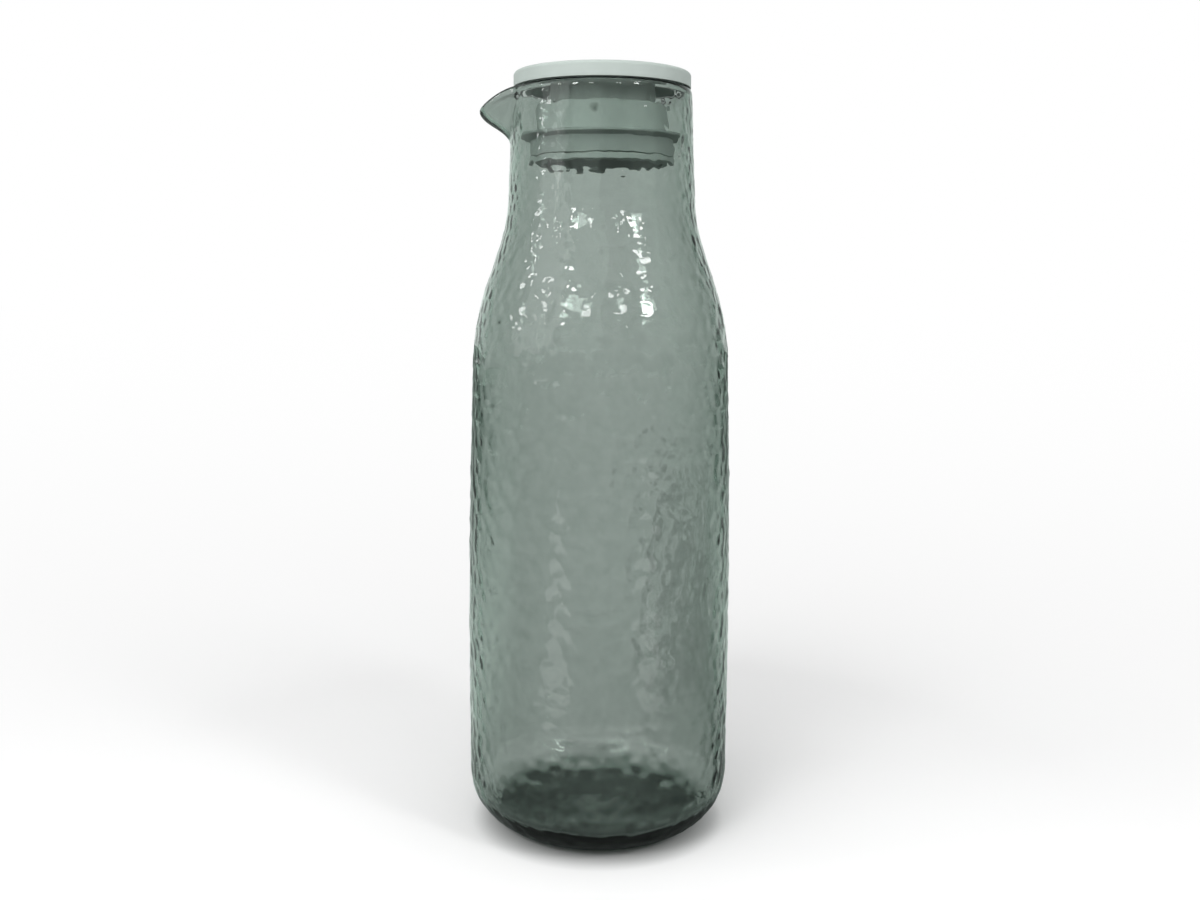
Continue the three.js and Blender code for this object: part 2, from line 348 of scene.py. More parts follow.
def apply_modifier(piece, kind, **settings):
    """Adds a modifier with these settings and applies it."""
    modifier = piece.modifiers.new(kind.lower(), kind)
    for name, value in settings.items():
        setattr(modifier, name, value)
    bpy.ops.object.modifier_apply(modifier=modifier.name)


def soften_edges(piece, width):
    """Rounds every sharp edge and evens the shading of the flats between them."""
    sharp = math.radians(35)
    apply_modifier(piece, "BEVEL", width=width, segments=3, limit_method="ANGLE", angle_limit=sharp)
    bpy.ops.object.shade_smooth()
    apply_modifier(piece, "WEIGHTED_NORMAL", weight=80, keep_sharp=False)


def dress(piece, material, body, node):
    """Gives a finished piece its material and its place in the frame."""
    piece.data.materials.clear()
    piece.data.materials.append(material)
    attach(piece, body)
    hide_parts(node)


def node_of(tree, kind, inputs=None, **settings):
    """A new node with its plain settings, and its sockets linked to other sockets or given plain values."""
    node = tree.nodes.new(kind)
    for name, value in settings.items():
        setattr(node, name, value)
    for name, value in (inputs or {}).items():
        if isinstance(value, bpy.types.NodeSocket):
            tree.links.new(value, node.inputs[name])
        else:
            node.inputs[name].default_value = value
    return node


def calculated(tree, operation, *values, **settings):
    """Result of a calculation with sockets and numbers."""
    inputs = dict(enumerate(values))
    return node_of(tree, "ShaderNodeMath", inputs, operation=operation, **settings).outputs["Value"]


def measured(tree, operation, first, second):
    """A number worked out from two vectors, such as their distance or dot product."""
    return node_of(tree, "ShaderNodeVectorMath", {0: first, 1: second}, operation=operation).outputs["Value"]


def mapped(tree, source, low, high, start=0.0, end=1.0, kind="LINEAR"):
    """A value that goes from start to end as the source goes from low to high, and no further."""
    limits = {"Value": source, "From Min": low, "From Max": high, "To Min": start, "To Max": end}
    return node_of(tree, "ShaderNodeMapRange", limits, interpolation_type=kind).outputs["Result"]


def blended(tree, mask, first, second, kind="RGBA"):
    """A colour, or a number, between two: the second where a mask is 1."""
    inputs = {"Factor": mask, "A": first, "B": second}
    return node_of(tree, "ShaderNodeMix", inputs, data_type=kind).outputs["Result"]


def opaque(tone, light=1.0):
    """A colour for a socket, made lighter or darker."""
    return (*(min(1.0, light * part) for part in tone), 1)


def new_group(name, inputs, outputs):
    """An empty shader group with named number sockets, and its input and output nodes."""
    group = bpy.data.node_groups.new(name, "ShaderNodeTree")
    for socket in inputs:
        group.interface.new_socket(socket, in_out="INPUT", socket_type="NodeSocketFloat")
    for socket in outputs:
        group.interface.new_socket(socket, in_out="OUTPUT", socket_type="NodeSocketFloat")
    return group, group.nodes.new("NodeGroupInput"), group.nodes.new("NodeGroupOutput")


def moulded_grain():
    """Fine grain and soft unevenness of moulded plastic and rubber, built once."""
    name = "moulded grain"
    if name in bpy.data.node_groups:
        return bpy.data.node_groups[name]
    group, given, put = new_group(name, ("Grain Scale", "Patch Scale"), ("Height", "Patches"))
    place = node_of(group, "ShaderNodeTexCoord").outputs["Object"]
    grain = node_of(group, "ShaderNodeTexNoise", {
        "Vector": place, "Scale": given.outputs["Grain Scale"], "Detail": 3.0, "Roughness": 0.6})
    patches = node_of(group, "ShaderNodeTexNoise", {
        "Vector": place, "Scale": given.outputs["Patch Scale"], "Detail": 4.0, "Roughness": 0.55})
    group.links.new(grain.outputs["Fac"], put.inputs["Height"])
    group.links.new(patches.outputs["Fac"], put.inputs["Patches"])
    return group


def painted_shade_mask():
    """1 on faces that look down or towards the axis, which lie in the shade of their own piece and get
    painted shade; built once.
    """
    name = "recess mask"
    if name in bpy.data.node_groups:
        return bpy.data.node_groups[name]
    group, _, put = new_group(name, (), ("Mask",))
    here = node_of(group, "ShaderNodeTexCoord").outputs
    level = node_of(group, "ShaderNodeVectorMath", {0: here["Object"], 1: (-1, -1, 0)}, operation="MULTIPLY")
    inwards = node_of(group, "ShaderNodeVectorMath", {0: level.outputs["Vector"]}, operation="NORMALIZE")
    facing_in = measured(group, "DOT_PRODUCT", inwards.outputs["Vector"], here["Normal"])
    facing_down = measured(group, "DOT_PRODUCT", here["Normal"], (0, 0, -1))
    recessed = calculated(group, "MAXIMUM", facing_in, facing_down)
    group.links.new(mapped(group, recessed, *RECESS_SLOPES), put.inputs["Mask"])
    return group


def new_material(name):
    """A material with only its Principled shader, ready to be wired."""
    material = bpy.data.materials.new(name)
    material.use_nodes = True
    tree = material.node_tree
    return material, tree, tree.nodes["Principled BSDF"]


def moulded_material(name, tone, roughness, grain_scale, patch_scale, bump_depth, recess):
    """Satin moulded plastic or soft rubber with grain, faint patches, uneven gloss and painted shade in its
    hollows.
    """
    material, tree, shader = new_material(name)
    scales = {"Grain Scale": grain_scale, "Patch Scale": patch_scale}
    grain = node_of(tree, "ShaderNodeGroup", scales, node_tree=moulded_grain()).outputs
    shade = node_of(tree, "ShaderNodeGroup", node_tree=painted_shade_mask()).outputs["Mask"]
    patches = mapped(tree, grain["Patches"], *NOISE_MIDDLE)
    mottled = blended(tree, patches, opaque(tone, 1 - MOTTLE), opaque(tone, 1 + MOTTLE))
    gloss = mapped(tree, grain["Patches"], *NOISE_MIDDLE, *(roughness + part for part in UNEVEN_GLOSS))
    bump = node_of(tree, "ShaderNodeBump", {
        "Height": grain["Height"], "Strength": 0.35, "Distance": bump_depth})
    # Painted shade: faces in hollows and faces that look down get a darker copy of the colour.
    tree.links.new(blended(tree, shade, mottled, opaque(tone, recess)), shader.inputs["Base Color"])
    tree.links.new(gloss, shader.inputs["Roughness"])
    tree.links.new(bump.outputs["Normal"], shader.inputs["Normal"])
    shader.inputs["IOR"].default_value = REFRACTION
    return material


def glass_material(settings):
    """Clear smoked glass: the grey lies in its depth, with faint ripples and handling marks on its face."""
    material, tree, shader = new_material("smoked hammered glass")
    shader.inputs["Base Color"].default_value = WHITE
    shader.inputs["Transmission Weight"].default_value = 1
    shader.inputs["IOR"].default_value = REFRACTION
    place = node_of(tree, "ShaderNodeTexCoord").outputs["Object"]
    marks = node_of(tree, "ShaderNodeTexNoise", {
        "Vector": place, "Scale": 45.0, "Detail": 5.0, "Roughness": 0.6})
    ripples = node_of(tree, "ShaderNodeTexNoise", {
        "Vector": place, "Scale": 420.0, "Detail": 2.0, "Roughness": 0.4})
    bump = node_of(tree, "ShaderNodeBump", {
        "Height": ripples.outputs["Fac"], "Strength": 0.12, "Distance": 0.0002})
    smoke = node_of(tree, "ShaderNodeVolumeAbsorption", {
        "Color": opaque(settings.tint), "Density": settings.smoke})
    handled = mapped(tree, marks.outputs["Fac"], *NOISE_MIDDLE, 0.0, 0.035)
    tree.links.new(handled, shader.inputs["Roughness"])
    tree.links.new(bump.outputs["Normal"], shader.inputs["Normal"])
    tree.links.new(smoke.outputs["Volume"], tree.nodes["Material Output"].inputs["Volume"])
    return material


class GlassShape:
    """The half section of the glass and what is measured along it."""

    def __init__(self, settings):
        glass = self.settings = settings
        self.foot_radius = glass.body_radius - glass.heel_radius
        self.floor_radius = glass.body_radius - glass.body_wall - glass.inner_heel_radius
        self.shoulder_base = glass.heel_radius + glass.body_length
        self.neck_base = self.shoulder_base + glass.shoulder_length
        self.spout_root = glass.rim_height - glass.spout_height
        self.rim_radius = glass.neck_radius - glass.neck_taper
        self.bore_radius = self.rim_radius - glass.rim_wall
        self.rim_edge = glass.rim_height - glass.lip_height
        self.neck_length = glass.rim_height - self.neck_base

    def neck_outer(self, height):
        """Outer radius of the neck at a height."""
        glass = self.settings
        return glass.neck_radius - glass.neck_taper / self.neck_length * (height - self.neck_base)

    def rows(self, span, fineness=1.0):
        """Rows of faces over a stretch of the outside."""
        return max(2, round(fineness * span / self.settings.row_step))

    def side(self, bottom_height, inset, neck_inset, body_steps, shoulder_steps):
        """From the heel to the foot of the neck, moved in from the outer face by the wall."""
        glass = self.settings
        bottom = Vector((glass.body_radius - inset, bottom_height))
        top = Vector((glass.body_radius - glass.body_taper - inset, self.shoulder_base))
        middle = (bottom + top) / 2
        belly = Vector((middle.x + 2 * glass.body_bulge, middle.y))
        rising = top + (top - belly).normalized() * glass.shoulder_handle
        arrival = self.neck_base - glass.neck_handle
        arriving = Vector((self.neck_outer(arrival) - neck_inset, arrival))
        neck = Vector((glass.neck_radius - neck_inset, self.neck_base))
        shoulder = bezier((top, rising, arriving, neck), shoulder_steps)
        return bezier((bottom, belly, top), body_steps)[:-1] + shoulder

    def outside(self):
        """From the axis under the base to the outer edge of the rim."""
        glass = self.settings
        punt_radius = self.foot_radius - glass.foot_width
        heel_rows = self.rows(QUARTER * glass.heel_radius)
        shoulder_rows = self.rows(glass.shoulder_length, FINE_ROWS)
        punt_top = glass.punt_depth
        punt = bezier(((0, punt_top), (punt_radius / 2, punt_top), (punt_radius, 0)), steps=14)
        heel = arc((self.foot_radius, glass.heel_radius), glass.heel_radius, -QUARTER, 0, heel_rows)
        side = self.side(glass.heel_radius, 0, 0, self.rows(glass.body_length), shoulder_rows)
        rim = Vector((self.rim_radius, self.rim_edge))
        neck = bezier((side[-1], rim), self.rows(self.neck_length, FINE_ROWS))
        return punt + heel[:-1] + side[:-1] + neck

    def inside(self):
        """From the axis on the floor of the glass to the inner edge of the rim."""
        glass = self.settings
        top = glass.base_thickness + glass.inner_heel_radius
        floor = bezier(((0, glass.base_thickness), (self.floor_radius, glass.base_thickness)), steps=14)
        heel = arc((self.floor_radius, top), glass.inner_heel_radius, -QUARTER, 0, steps=8)
        side = self.side(top, glass.body_wall, glass.rim_wall, body_steps=8, shoulder_steps=12)
        root = Vector((self.neck_outer(self.spout_root) - glass.rim_wall, self.spout_root))
        rim = Vector((self.bore_radius, self.rim_edge))
        neck = bezier((side[-1], root), steps=4)[:-1] + bezier((root, rim), steps=14)
        return floor[:-1] + heel[:-1] + side[:-1] + neck

    def section(self):
        """The whole half section, from axis to axis."""
        half = self.settings.rim_wall / 2
        stretch = self.settings.lip_height / half
        rim = [Vector((point.x, self.rim_edge + point.y * stretch))
               for point in arc((self.bore_radius + half, 0), half, 0, math.pi, steps=10)]
        return self.outside()[:-1] + rim + self.inside()[::-1][1:]

    def pitch(self, radius):
        """Distance between hammer marks where the glass has this radius: their number stays the same."""
        return self.settings.dimple_pitch * radius / self.settings.body_radius

    def spout_flare(self, angle, rise):
        """How strongly the spout pulls at an angle from -X: 1 in its middle, 0 beyond its sides."""
        glass = self.settings
        spread = glass.spout_root_spread + (glass.spout_spread - glass.spout_root_spread) * rise
        turn = np.clip(np.abs(angle) / spread, 0, 1)
        return (1 - turn * turn) ** glass.spout_pointedness

    def spout_face(self, angle, height):
        """Places on the outer face of neck and spout, for angles from -X and heights on the neck."""
        glass = self.settings
        rise = smooth_step(self.spout_root, glass.rim_height, height)
        flare = self.spout_flare(angle, rise)
        radius = self.neck_outer(height) + glass.spout_reach * rise * flare
        drop = glass.spout_drop * rise * flare ** glass.spout_drop_power
        return np.stack((-radius * np.cos(angle), radius * np.sin(angle), height - drop), axis=-1)


def from_spout(places):
    """Angle of each place from -X, where the spout points."""
    return np.arctan2(places[:, 1], -places[:, 0])


def hammer_marks(shape):
    """Centres of the hammer marks on the outside, in uneven rows, with a depth and a lean for each."""
    glass = shape.settings
    chance = random.Random(MARK_SEED)
    outline = shape.outside()
    run = [0.0]
    for here, there in zip(outline, outline[1:]):
        run.append(run[-1] + (there - here).length)
    radii = [point.x for point in outline]
    heights = [point.y for point in outline]
    marks = []
    depths = []
    leans = []
    row = 0
    at = shape.foot_radius
    count = round(2 * math.pi * glass.body_radius / glass.dimple_pitch)
    while at < run[-1]:
        pitch = shape.pitch(float(np.interp(at, run, radii)))
        for number in range(count):
            step = number + 0.5 * (row % 2) + chance.uniform(-1, 1) * glass.dimple_jitter
            turn = step / count * 2 * math.pi
            along = at + chance.uniform(-1, 1) * glass.dimple_jitter * pitch
            radius = float(np.interp(along, run, radii))
            height = float(np.interp(along, run, heights))
            marks.append((radius * math.cos(turn), radius * math.sin(turn), height))
            depths.append(chance.uniform(glass.dimple_least, glass.dimple_most))
            leans.append(Vector([chance.gauss(0, glass.dimple_lean) for _ in range(3)]))
        row += 1
        at += pitch * math.sin(math.pi / 3)
    return marks, depths, leans


def mesh_places(mesh, field):
    """Places or normals of all vertices."""
    flat = np.empty(len(mesh.vertices) * 3, np.float32)
    mesh.vertices.foreach_get(field, flat)
    return flat.reshape(-1, 3).astype(float)


def set_places(mesh, places):
    """Moves all vertices to these places."""
    mesh.vertices.foreach_set("co", places.astype(np.float32).ravel())
    mesh.update()


def marked_share(shape, places, normals):
    """How far the hammer marks show at each place: 0 inside, at foot and rim, and on the spout."""
    height = places[:, 2]
    top = shape.settings.rim_height
    radial = np.einsum("ij,ij->i", places[:, :2], normals[:, :2])
    rise = smooth_step(shape.spout_root, top, height)
    flare = shape.spout_flare(from_spout(places), rise)
    share = smooth_step(*FOOT_FADE, height)
    share *= 1 - smooth_step(*(top - depth for depth in RIM_FADE), height)
    share *= 1 - np.clip(SPOUT_FADE * flare * np.sqrt(rise), 0, 1)
    share[radial < NEAR] = 0
    return share


def hammer(piece, shape):
    """Presses the shallow marks into the outside, clear of foot, rim and spout."""
    glass = shape.settings
    marks, depths, leans = hammer_marks(shape)
    tree = KDTree(len(marks))
    for number, mark in enumerate(marks):
        tree.insert(mark, number)
    tree.balance()
    places = mesh_places(piece.data, "co")
    normals = mesh_places(piece.data, "normal")
    share = marked_share(shape, places, normals)
    for index in np.nonzero(share > 0)[0]:
        pitch = shape.pitch(math.hypot(places[index, 0], places[index, 1]))
        depth = glass.dimple_depth * (pitch / glass.dimple_pitch) ** glass.dimple_shrink
        place = Vector(places[index])
        total = 0.0
        pressed = 0.0
        for mark, number, distance in tree.find_n(place, MARKS_AT_A_PLACE):
            weight = math.exp(-(glass.dimple_edge * distance / pitch) ** 2)
            bowl = depth * depths[number] * (1 - (distance / (glass.dimple_bowl * pitch)) ** 2)
            pressed += weight * (bowl + leans[number].dot(place - mark))
            total += weight
        places[index] -= normals[index] * share[index] * pressed / total
    set_places(piece.data, places)


def ripple_floor(piece, shape):
    """Makes the floor of the glass uneven, as it is in blown glass."""
    glass = shape.settings
    edge = shape.floor_radius
    places = mesh_places(piece.data, "co")
    radius = np.hypot(places[:, 0], places[:, 1])
    on_floor = (radius < edge) & (np.abs(places[:, 2] - glass.base_thickness) < NEAR)
    for index in np.nonzero(on_floor)[0]:
        height = glass.floor_waves * smooth_step(edge, CALM_EDGE * edge, radius[index])
        places[index, 2] += height * noise.noise(Vector(places[index]) * glass.wave_scale)
    set_places(piece.data, places)


def pull_spout(piece, shape):
    """Pulls the rim out and down into the pouring spout, with the wall at its thickness all over."""
    places = mesh_places(piece.data, "co")
    angle = from_spout(places)
    height = places[:, 2]
    pulled = (height > shape.spout_root) & (shape.spout_flare(angle, 1) > 0)
    angle = angle[pulled]
    height = height[pulled]
    depth = shape.neck_outer(height) - np.hypot(places[pulled, 0], places[pulled, 1])
    turn = math.radians(0.5)
    step = 0.001
    across = shape.spout_face(angle + turn, height) - shape.spout_face(angle - turn, height)
    along = shape.spout_face(angle, height + step) - shape.spout_face(angle, height - step)
    outwards = np.cross(along, across)
    outwards /= np.linalg.norm(outwards, axis=1)[:, None]
    places[pulled] = shape.spout_face(angle, height) - outwards * depth[:, None]
    set_places(piece.data, places)


class CARAFE_OT_glass_body(bpy.types.Operator):
    """Spin the glass from its half section, press the hammer marks and pull the spout"""
    bl_idname = "carafe.glass_body"
    bl_label = "Glass Body"

    def execute(self, context):
        settings = context.scene.carafe_glass
        shape = GlassShape(settings)
        piece = turned_piece("carafe_glass", shape.section(), settings.columns)
        hammer(piece, shape)
        ripple_floor(piece, shape)
        pull_spout(piece, shape)
        bpy.ops.object.shade_smooth()
        dress(piece, glass_material(settings), "carafe", "glass_body")
        return {"FINISHED"}


class CARAFE_OT_lid_cap(bpy.types.Operator):
    """Model the round cap with its soft edge and the spigot underneath"""
    bl_idname = "carafe.lid_cap"
    bl_label = "Lid Cap"

    def execute(self, context):
        lid = context.scene.carafe_lid
        cap_bottom = CAP_HIGH.z - lid.cap_thickness
        bpy.ops.object.select_all(action="DESELECT")
        bpy.ops.mesh.primitive_cylinder_add(vertices=LID_COLUMNS, radius=CAP_HIGH.x, depth=lid.cap_thickness)
        piece = context.object
        piece.name = piece.data.name = "lid_cap_moulding"
        bpy.ops.object.mode_set(mode="EDIT")
        bpy.ops.transform.translate(value=(0, 0, cap_bottom + lid.cap_thickness / 2))
        select_parts(piece, "edges",
                     lambda edge: all(corner.co.z > CAP_HIGH.z - NEAR for corner in edge.verts))
        bpy.ops.mesh.bevel(offset=lid.cap_edge, segments=6, affect="EDGES")
        select_parts(piece, "faces", lambda face: face.normal.z < DOWNWARDS)
        bpy.ops.mesh.inset(thickness=CAP_HIGH.x - lid.spigot_radius)
        bpy.ops.mesh.inset(thickness=lid.spigot_wall)
        inner = lid.spigot_radius - lid.spigot_wall
        select_parts(piece, "faces", lambda face: face.normal.z < DOWNWARDS and len(face.verts) == 4
                     and inner < face.calc_center_median().xy.length < lid.spigot_radius)
        bpy.ops.mesh.extrude_region_move(TRANSFORM_OT_translate={"value": (0, 0, CAP_LOW.z - cap_bottom)})
        bpy.ops.object.mode_set(mode="OBJECT")
        soften_edges(piece, lid.cap_under_edge)
        material = moulded_material("pale cap plastic", lid.cap_colour, roughness=0.42, grain_scale=2600.0,
                                    patch_scale=90.0, bump_depth=0.00004, recess=0.3)
        dress(piece, material, "lid", "lid_cap")
        return {"FINISHED"}


class CARAFE_OT_plug_cup(bpy.types.Operator):
    """Spin the hollow plug with its waist, core and flange"""
    bl_idname = "carafe.plug_cup"
    bl_label = "Plug Cup"

    def execute(self, context):
        lid = context.scene.carafe_lid
        waist_bottom = PLUG_HIGH.z - lid.waist_height
        flange_top = PLUG_LOW.z + lid.flange_thickness
        flange = lid.core_radius + lid.flange_lip
        waist = lid.core_radius - lid.waist_inset
        bore = waist - lid.plug_wall
        web_top = PLUG_HIGH.z - lid.web_height
        web_bottom = web_top - lid.web_thickness
        hollow = lid.core_radius - lid.skirt_wall
        section = [Vector(point) for point in (
            (0, web_bottom),
            (hollow, web_bottom),
            (hollow, PLUG_LOW.z),
            (flange, PLUG_LOW.z),
            (flange, flange_top),
            (lid.core_radius, flange_top),
            (lid.core_radius, waist_bottom),
            (waist, waist_bottom),
            (waist, PLUG_HIGH.z),
            (bore, PLUG_HIGH.z),
            (bore, web_top),
            (0, web_top),
        )]
        piece = turned_piece("plug_moulding", section, LID_COLUMNS)
        soften_edges(piece, lid.plug_edge)
        material = moulded_material("pale plug plastic", lid.plug_colour, roughness=0.45, grain_scale=2600.0,
                                    patch_scale=330.0, bump_depth=0.00004, recess=0.5)
        self.shade_waist(material, lid, waist_bottom)
        self.mark_gate(material, lid, waist_bottom)
        dress(piece, material, "lid", "plug_cup")
        return {"FINISHED"}

    @staticmethod
    def blend_over(tree, mask, tone):
        """Lays a tone over the material's colour where a mask is 1."""
        base = tree.nodes["Principled BSDF"].inputs["Base Color"]
        tree.links.new(blended(tree, mask, base.links[0].from_socket, tone), base)

    def shade_waist(self, material, lid, waist_bottom):
        """Paints shade on the waist, darker towards the cap, where little light comes in."""
        tree = material.node_tree
        place = node_of(tree, "ShaderNodeTexCoord").outputs["Object"]
        height = node_of(tree, "ShaderNodeSeparateXYZ", {"Vector": place}).outputs["Z"]
        depth = mapped(tree, height, waist_bottom + lid.waist_shade_start, PLUG_HIGH.z)
        self.blend_over(tree, depth, opaque(lid.plug_colour, lid.waist_shade))

    def mark_gate(self, material, lid, waist_bottom):
        """Leaves the small dark mark where the plastic was injected."""
        tree = material.node_tree
        place = node_of(tree, "ShaderNodeTexCoord").outputs["Object"]
        gate = (lid.gate_side, -lid.core_radius, waist_bottom - lid.gate_drop)
        away = measured(tree, "DISTANCE", place, gate)
        spot = mapped(tree, away, lid.gate_radius, lid.gate_reach, lid.gate_strength, 0.0)
        self.blend_over(tree, spot, opaque(lid.gate_colour))


class CARAFE_OT_seal_ring(bpy.types.Operator):
    """Spin the soft ring with its thin fin"""
    bl_idname = "carafe.seal_ring"
    bl_label = "Seal Ring"

    def execute(self, context):
        seal = context.scene.carafe_seal
        sleeve = seal.bore_radius + seal.sleeve_wall
        half = seal.fin_tip / 2
        tip = arc((SEAL_HIGH.x - half, SEAL_HIGH.z - half), half, -QUARTER, QUARTER, steps=8)
        section = [Vector((seal.bore_radius, SEAL_LOW.z)), Vector((sleeve, SEAL_LOW.z)),
                   Vector((sleeve, SEAL_HIGH.z - seal.fin_thickness)), *tip,
                   Vector((seal.bore_radius, SEAL_HIGH.z)), Vector((seal.bore_radius, SEAL_LOW.z))]
        piece = turned_piece("seal_moulding", section, LID_COLUMNS)
        soften_edges(piece, seal.sleeve_edge)
        material = moulded_material("soft grey silicone", seal.seal_colour, roughness=0.5, grain_scale=1800.0,
                                    patch_scale=200.0, bump_depth=0.00003, recess=0.6)
        dress(piece, material, "seal", "seal_ring")
        return {"FINISHED"}


def ray_masks(tree):
    """Masks of the rays that pass the glass without a mirroring and of those that a surface has mirrored."""
    path = node_of(tree, "ShaderNodeLightPath").outputs
    straight = calculated(tree, "LESS_THAN", path["Glossy Depth"], FIRST_BOUNCE)
    through = calculated(tree, "MULTIPLY", path["Is Transmission Ray"], straight)
    mirrored = calculated(tree, "GREATER_THAN", path["Glossy Depth"], FIRST_BOUNCE)
    return path, through, mirrored


def studio_world(settings):
    """White to look at and through, a dimmer room in reflections, and a softer light on the object."""
    world = bpy.data.worlds.new("studio")
    bpy.context.scene.world = world
    world.use_nodes = True
    tree = world.node_tree
    path, through, mirrored = ray_masks(tree)
    direction = node_of(tree, "ShaderNodeTexCoord").outputs["Generated"]
    side = measured(tree, "DOT_PRODUCT", direction, BRIGHT_SIDE)
    room = mapped(tree, side, *BRIGHT_ROOM, settings.room)
    around = blended(tree, mirrored, settings.ambient, room, kind="FLOAT")
    behind = blended(tree, through, around, settings.backdrop, kind="FLOAT")
    strength = blended(tree, path["Is Camera Ray"], behind, 1.0, kind="FLOAT")
    tone = blended(tree, mirrored, WHITE, opaque(settings.room_colour))
    back = tree.nodes["Background"]
    tree.links.new(strength, back.inputs["Strength"])
    tree.links.new(tone, back.inputs["Color"])


def long_shadow(tree, place, settings):
    """Share of light that is left in the long faint shadow painted behind the carafe, a little to its right.
    """
    across = measured(tree, "DOT_PRODUCT", place, SHADOW_ACROSS)
    back = node_of(tree, "ShaderNodeSeparateXYZ", {"Vector": place}).outputs["Y"]
    offset = calculated(tree, "ABSOLUTE", calculated(tree, "SUBTRACT", across, settings.shadow_offset))
    beside = mapped(tree, offset, 0.0, settings.shadow_width, kind="SMOOTHSTEP")
    ahead = mapped(tree, back, *SHADOW_BEGINS, 1.0, 0.0, kind="SMOOTHSTEP")
    beyond = mapped(tree, back, *SHADOW_ENDS, kind="SMOOTHSTEP")
    clear = calculated(tree, "MAXIMUM", calculated(tree, "MAXIMUM", beside, ahead), beyond)
    return mapped(tree, clear, 0.0, 1.0, 1 - settings.shadow_depth, kind="SMOOTHSTEP")


def floor_material(stage):
    """Pale table that keeps the shadow near the carafe and fades to white far from it, with shadow under and
    round the foot, light under the punt and a long shadow behind painted into its colour.
    """
    material, tree, shader = new_material("pale table")
    tree.nodes.remove(shader)

    def matt(tone):
        """A dull surface."""
        return node_of(tree, "ShaderNodeBsdfDiffuse", {"Color": tone}).outputs["BSDF"]

    def glow(tone, strength=1.0):
        """An even glow."""
        return node_of(tree, "ShaderNodeEmission", {"Color": tone, "Strength": strength}).outputs["Emission"]

    def mixed(share, first, second):
        """Two shaders, with this share of the second."""
        return node_of(tree, "ShaderNodeMixShader", {"Fac": share, 1: first, 2: second}).outputs["Shader"]

    path, through, mirrored = ray_masks(tree)
    in_sight = calculated(tree, "LESS_THAN", path["Diffuse Depth"], FIRST_BOUNCE)
    through = calculated(tree, "MULTIPLY", through, in_sight)
    place = node_of(tree, "ShaderNodeTexCoord").outputs["Object"]
    distance = measured(tree, "DISTANCE", place, (0, 0, 0))
    nearness = calculated(tree, "DIVIDE", stage.shadow_reach, distance, use_clamp=True)
    fade = calculated(tree, "POWER", nearness, 2.0)

    mottle = node_of(tree, "ShaderNodeTexNoise", {"Vector": place, "Scale": 9.0, "Detail": 5.0})
    patch = opaque(stage.floor_colour, (1 - stage.floor_mottle) * stage.backdrop)
    tone = blended(tree, mottle.outputs["Fac"], patch, opaque(stage.floor_colour, stage.backdrop))
    # Painted shadow under the heel, with painted light under the punt, for rays through the glass.
    from_contact = measured(tree, "DISTANCE", place, (0, -stage.contact_shift, 0))
    contact = mapped(tree, from_contact, stage.contact_radius, stage.contact_reach, stage.contact_light)
    punt = mapped(tree, distance, stage.punt_radius, stage.punt_reach, stage.punt_light, 0.0)
    painted_shadow_tone = blended(tree, calculated(tree, "MAXIMUM", contact, punt), BLACK, tone)
    # Painted shadow round the foot, for the camera's own view of the table.
    ring = mapped(tree, distance, stage.ring_radius, stage.ring_reach, stage.ring_light)
    side = measured(tree, "DOT_PRODUCT", place, BRIGHT_SIDE)
    mirror = blended(tree, mapped(tree, side, *BRIGHT_TABLE, stage.room), BLACK, opaque(stage.room_colour))

    # Painted light: near the carafe part of the table glows, standing in for light that comes through the
    # glass.
    near = mixed(1 - stage.passed_light, glow(painted_shadow_tone), matt(painted_shadow_tone))
    table = mixed(nearness, glow(WHITE, stage.backdrop), near)
    shaded = mixed(long_shadow(tree, place, stage), glow(WHITE, 0.0), table)
    hidden = mixed(mirrored, matt(opaque([stage.floor_bounce] * 3)), matt(mirror))
    glimpsed = mixed(through, hidden, shaded)
    bright = mixed(fade, glow(WHITE), matt(ring))
    surface = mixed(path["Is Camera Ray"], glimpsed, bright)
    tree.links.new(surface, tree.nodes["Material Output"].inputs["Surface"])
    return material


def towards(azimuth, elevation):
    """A direction from the carafe, in degrees, with the azimuth counted from the front towards +X."""
    azimuth = math.radians(azimuth)
    elevation = math.radians(elevation)
    level = math.cos(elevation)
    return Vector((math.sin(azimuth) * level, -math.cos(azimuth) * level, math.sin(elevation)))


def area_light(settings, name, location, rotation, width, height, share):
    """A soft flat light that the camera doesn't see."""
    bpy.ops.object.light_add(type="AREA", location=location, rotation=rotation)
    light = bpy.context.object
    light.name = light.data.name = name
    light.data.shape = "RECTANGLE"
    light.data.size = width
    light.data.size_y = height
    light.data.energy = share * settings.lamp_glow * math.pi * width * height
    light.visible_camera = False
    return light


def lamp(settings, name, azimuth, elevation, width, height, share, mirrored):
    """A lamp that faces the shoulder of the carafe."""
    outwards = towards(azimuth, elevation)
    location = Vector((0, 0, settings.lamp_aim)) + outwards * settings.lamp_distance
    rotation = (-outwards).to_track_quat("-Z", "Y").to_euler()
    light = area_light(settings, name, location, rotation, width, height, share)
    light.visible_glossy = mirrored


def table_strip(settings, name, azimuth, distance, width, reach, share):
    """A faint strip that lies on the table in front and shows only as a streak in the glass."""
    location = towards(azimuth, 0) * distance + Vector((0, 0, settings.strip_height))
    rotation = (math.pi, 0, math.radians(azimuth))
    light = area_light(settings, name, location, rotation, width, reach, share)
    light.visible_transmission = False


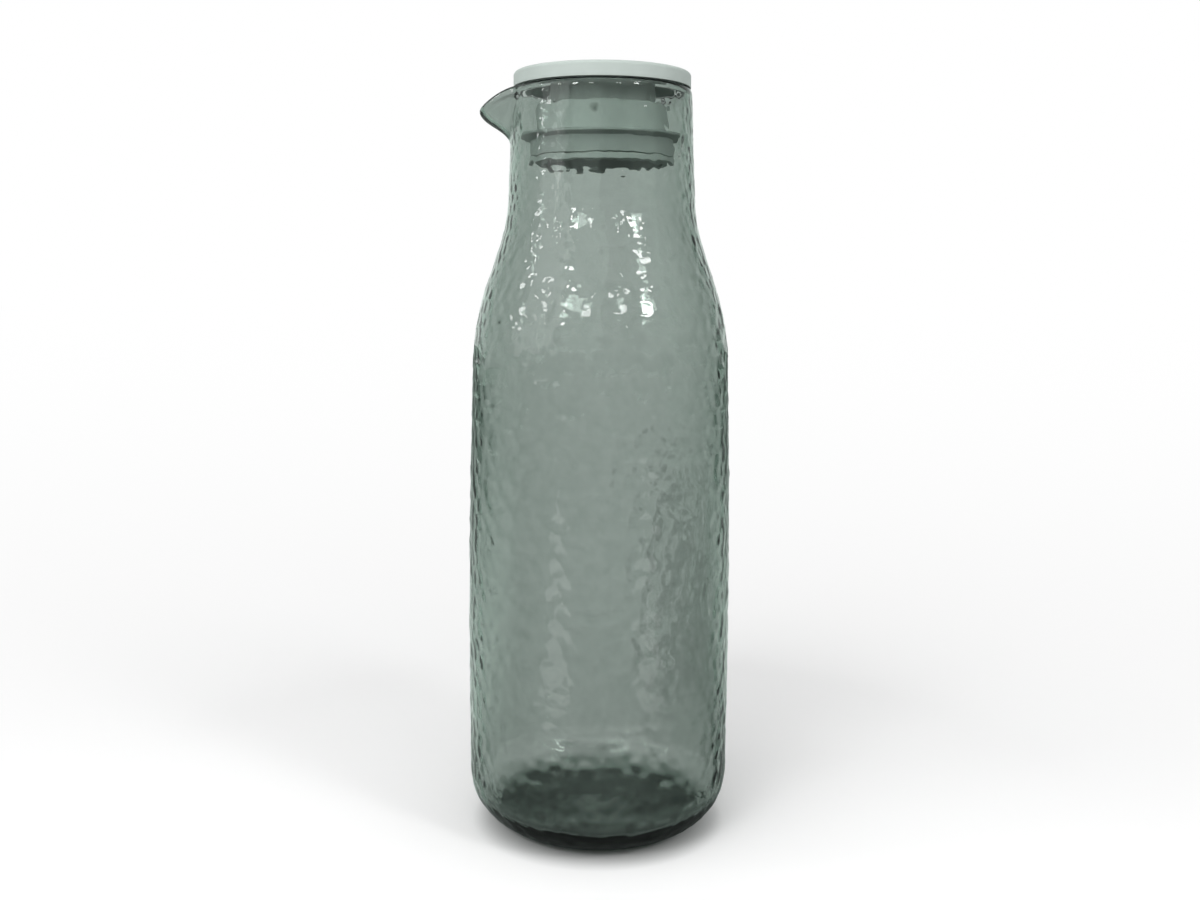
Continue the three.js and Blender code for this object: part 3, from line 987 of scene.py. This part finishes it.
class CARAFE_OT_stage(bpy.types.Operator):
    """Lay the pale table, light it softly and set the camera"""
    bl_idname = "carafe.stage"
    bl_label = "Stage"

    def execute(self, context):
        settings = context.scene.carafe_stage
        scene = context.scene
        bpy.ops.object.select_all(action="DESELECT")
        bpy.ops.mesh.primitive_plane_add(size=settings.floor_size, location=(0, 0, -settings.floor_gap))
        floor = context.object
        floor.name = floor.data.name = "table"
        floor.data.materials.append(floor_material(settings))
        studio_world(settings)
        for row in LAMPS:
            lamp(settings, *row)
        for row in TABLE_STRIPS:
            table_strip(settings, *row)
        self.place_camera(scene, settings)
        scene.view_settings.view_transform = "Standard"
        scene.cycles.max_bounces = settings.bounces
        scene.cycles.transmission_bounces = settings.bounces
        return {"FINISHED"}

    @staticmethod
    def place_camera(scene, settings):
        """Stands the camera where the photograph was taken from."""
        bpy.ops.object.camera_add(location=(0, -settings.camera_distance, settings.camera_height))
        camera = bpy.context.object
        camera.name = camera.data.name = "photo camera"
        camera.rotation_mode = "ZXY"
        camera.rotation_euler = (QUARTER - settings.camera_tilt, 0, settings.camera_roll)
        camera.data.sensor_fit = "HORIZONTAL"
        camera.data.sensor_width = SENSOR_WIDTH
        camera.data.lens = settings.camera_focal_pixels / PHOTO_WIDTH * SENSOR_WIDTH
        camera.data.clip_start = 0.01
        scene.camera = camera


class CARAFE_PT_workshop(bpy.types.Panel):
    """Lists the steps that make the carafe"""
    bl_label = "Carafe"
    bl_idname = "CARAFE_PT_workshop"
    bl_space_type = "VIEW_3D"
    bl_region_type = "UI"
    bl_category = "Carafe"

    def draw(self, context):
        for name, _, steps in GROUPS:
            box = self.layout.box()
            settings = getattr(context.scene, name)
            for prop in settings.bl_rna.properties.keys():
                if prop not in ("name", "rna_type"):
                    box.prop(settings, prop)
            for step in steps:
                box.operator(step.bl_idname)


GROUPS = (
    ("carafe_glass", CarafeGlassSettings, (CARAFE_OT_glass_body,)),
    ("carafe_lid", CarafeLidSettings, (CARAFE_OT_lid_cap, CARAFE_OT_plug_cup)),
    ("carafe_seal", CarafeSealSettings, (CARAFE_OT_seal_ring,)),
    ("carafe_stage", CarafeStageSettings, (CARAFE_OT_stage,)),
)


def register():
    """Registers the settings, the steps and the panel."""
    for name, settings, steps in GROUPS:
        bpy.utils.register_class(settings)
        setattr(bpy.types.Scene, name, PointerProperty(type=settings))
        for step in steps:
            bpy.utils.register_class(step)
    bpy.utils.register_class(CARAFE_PT_workshop)


def unregister():
    """Takes them away again, last first."""
    bpy.utils.unregister_class(CARAFE_PT_workshop)
    for name, settings, steps in reversed(GROUPS):
        for step in reversed(steps):
            bpy.utils.unregister_class(step)
        delattr(bpy.types.Scene, name)
        bpy.utils.unregister_class(settings)


def main():
    """Makes the pieces and the stage."""
    register()
    bpy.ops.carafe.glass_body()
    bpy.ops.carafe.lid_cap()
    bpy.ops.carafe.plug_cup()
    bpy.ops.carafe.seal_ring()
    bpy.ops.carafe.stage()


if __name__ == "__main__":
    main()
